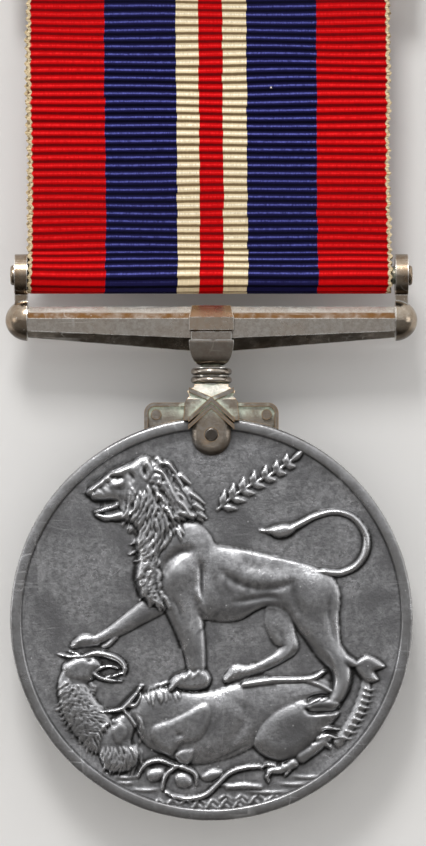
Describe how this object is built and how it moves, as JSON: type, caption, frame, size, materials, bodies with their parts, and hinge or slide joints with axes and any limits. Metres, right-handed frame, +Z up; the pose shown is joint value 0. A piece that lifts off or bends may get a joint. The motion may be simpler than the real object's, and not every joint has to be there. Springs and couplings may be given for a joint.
{
  "type": "service medal",
  "caption": "Round service medal in relief on a straight bar suspender, with a striped ribbon folded through a pin brooch.",
  "frame": {"origin": "on the axis of the brooch pin, at the middle of its round shaft, where the medal is fastened to a coat", "axes": "+Z up; the medal hangs towards -Z; the struck front faces -Y; the pin lies along X"},
  "size_m": [0.0368, 0.0072, 0.0811],
  "materials": {
    "disc_metal": "worn, toned cupro-nickel",
    "suspender_metal": "polished nickel silver with brown toning",
    "ribbon_cloth": "corded, striped weave",
    "thread": "sewing thread",
    "brooch_metal": "dulled brass",
    "pin_metal": "drawn, polished"
  },
  "bodies": {
    "brooch": {"brooch_plate": "brooch_metal", "ribbon_head": "ribbon_cloth", "hinge_bracket": "brooch_metal", "hinge_rivet": "brooch_metal", "pin_catch": "brooch_metal"},
    "pin": {"brooch_pin": "pin_metal"},
    "ribbon_drop": {"ribbon": "ribbon_cloth", "ribbon_stitching": "thread"},
    "medal": {"disc": "disc_metal", "claw": "suspender_metal", "claw_rivet": "suspender_metal", "left_scroll": "suspender_metal", "right_scroll": "suspender_metal", "collar": "suspender_metal", "spindle": "suspender_metal", "centre_boss": "suspender_metal", "saddle": "suspender_metal", "cross_bar": "suspender_metal", "left_knob": "suspender_metal", "right_knob": "suspender_metal", "left_lug": "suspender_metal", "right_lug": "suspender_metal", "ribbon_rod": "suspender_metal"}
  },
  "joints": [
    {"name": "brooch_pin_hinge", "type": "hinge", "parent": "brooch", "child": "pin", "pos_m": [0.0133, 0, 0], "axis": [0, 0, -1], "range_deg": [0, 100]},
    {"name": "ribbon_swing", "type": "hinge", "parent": "brooch", "child": "ribbon_drop", "pos_m": [0, -0.00327, 0.0029], "axis": [-1, 0, 0], "range_deg": [0, 90]},
    {"name": "suspender_swing", "type": "hinge", "parent": "ribbon_drop", "child": "medal", "pos_m": [0, -0.00327, -0.02635], "axis": [-1, 0, 0], "range_deg": [-110, 110]}
  ]
}
